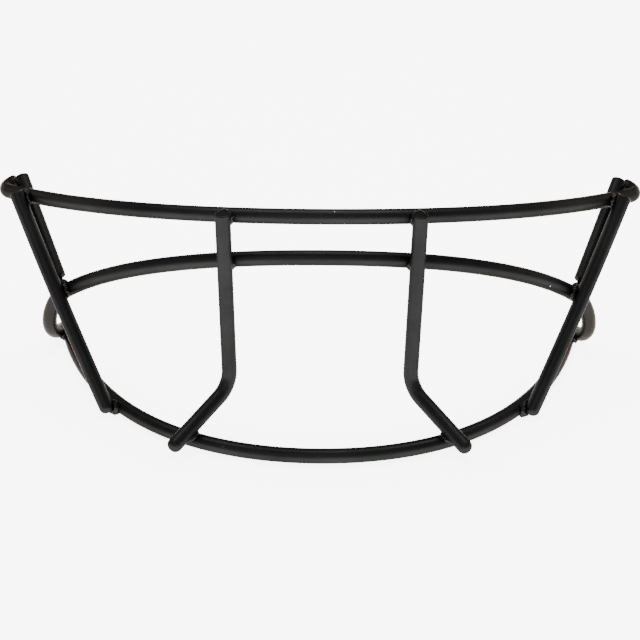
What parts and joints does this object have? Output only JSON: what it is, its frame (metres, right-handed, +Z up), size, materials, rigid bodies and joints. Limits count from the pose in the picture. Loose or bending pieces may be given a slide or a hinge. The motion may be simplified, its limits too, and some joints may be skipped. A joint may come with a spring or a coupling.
{
  "type": "face guard",
  "caption": "Black coated steel wire face guard for an american football helmet, bent rods crossed by welded uprights.",
  "frame": {"origin": "middle of the box's floor, with the guard standing on its bottom bar", "axes": "+X to the right as seen from the front, +Y to the rear (towards the face), +Z up; the bars bow forwards to -Y"},
  "size_m": [0.2602, 0.1074, 0.0934],
  "materials": {
    "coated_rod": "satin",
    "coated_weld": "satin"
  },
  "bodies": {
    "root": {"top_bar": "coated_rod", "middle_bar": "coated_rod", "bottom_bar": "coated_rod", "inner_upright_left": "coated_rod", "inner_upright_right": "coated_rod", "outer_upright_left": "coated_rod", "outer_upright_right": "coated_rod", "rear_stay_left": "coated_rod", "rear_stay_right": "coated_rod", "weld_top_inner_left": "coated_weld", "weld_middle_inner_left": "coated_weld", "weld_bottom_inner_left": "coated_weld", "weld_top_outer_left": "coated_weld", "weld_middle_outer_left": "coated_weld", "weld_bottom_outer_left": "coated_weld", "weld_top_stay_left": "coated_weld", "weld_middle_stay_left": "coated_weld", "weld_bottom_middle_left": "coated_weld", "weld_top_inner_right": "coated_weld", "weld_middle_inner_right": "coated_weld", "weld_bottom_inner_right": "coated_weld", "weld_top_outer_right": "coated_weld", "weld_middle_outer_right": "coated_weld", "weld_bottom_outer_right": "coated_weld", "weld_top_stay_right": "coated_weld", "weld_middle_stay_right": "coated_weld", "weld_bottom_middle_right": "coated_weld"}
  },
  "joints": []
}
